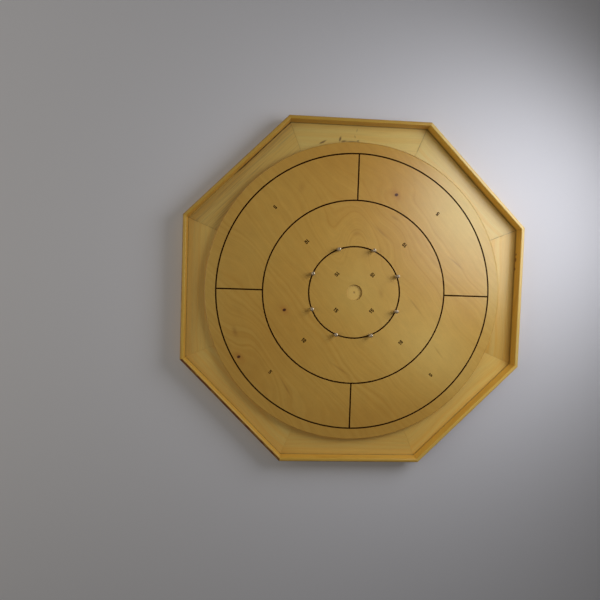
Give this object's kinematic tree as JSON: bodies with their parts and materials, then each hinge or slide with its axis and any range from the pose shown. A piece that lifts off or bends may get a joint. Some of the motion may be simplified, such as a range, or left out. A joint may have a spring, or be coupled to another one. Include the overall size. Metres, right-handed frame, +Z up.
{
  "type": "crokinole board",
  "caption": "Octagonal tabletop disc-flicking board with a raised round deck, centre recess, sleeved pegs, printed rings, a sunken ditch and low rails.",
  "frame": {"origin": "centre of the underside, on the surface that the board lies on", "axes": "+Z up out of the playing face; +Y towards the middle of side 1 and +X towards the middle of side 3"},
  "size_m": [0.754, 0.754, 0.042],
  "materials": {
    "deck_plywood": "birch plywood, clear satin varnish, rotary-cut grain",
    "ditch_wood": "solid softwood, clear satin varnish",
    "rail_wood": "solid softwood, amber gloss varnish, edges rounded over",
    "printed_ink": "near-black printing ink under varnish",
    "peg_steel": "bright zinc-plated steel",
    "sleeve_plastic": "milky translucent soft plastic tube",
    "fixing_steel": "yellow zinc-plated steel",
    "biscuit_wood": "pressed beech, unfinished"
  },
  "bodies": {
    "root": {"playing_deck": "deck_plywood", "ditch_board_1": "ditch_wood", "rail_1": "rail_wood", "peg_screw_1": "peg_steel", "peg_sleeve_1": "sleeve_plastic", "ditch_board_2": "ditch_wood", "rail_2": "rail_wood", "peg_screw_2": "peg_steel", "peg_sleeve_2": "sleeve_plastic", "ditch_board_3": "ditch_wood", "rail_3": "rail_wood", "peg_screw_3": "peg_steel", "peg_sleeve_3": "sleeve_plastic", "ditch_board_4": "ditch_wood", "rail_4": "rail_wood", "peg_screw_4": "peg_steel", "peg_sleeve_4": "sleeve_plastic", "ditch_board_5": "ditch_wood", "rail_5": "rail_wood", "peg_screw_5": "peg_steel", "peg_sleeve_5": "sleeve_plastic", "ditch_board_6": "ditch_wood", "rail_6": "rail_wood", "peg_screw_6": "peg_steel", "peg_sleeve_6": "sleeve_plastic", "ditch_board_7": "ditch_wood", "rail_7": "rail_wood", "peg_screw_7": "peg_steel", "peg_sleeve_7": "sleeve_plastic", "ditch_board_8": "ditch_wood", "rail_8": "rail_wood", "peg_screw_8": "peg_steel", "peg_sleeve_8": "sleeve_plastic", "ring_line_15": "printed_ink", "ring_line_10": "printed_ink", "ring_line_5": "printed_ink", "quadrant_lines": "printed_ink", "score_numerals": "printed_ink", "deck_screws": "fixing_steel", "rail_brads": "fixing_steel", "mitre_biscuits": "biscuit_wood"}
  },
  "joints": []
}
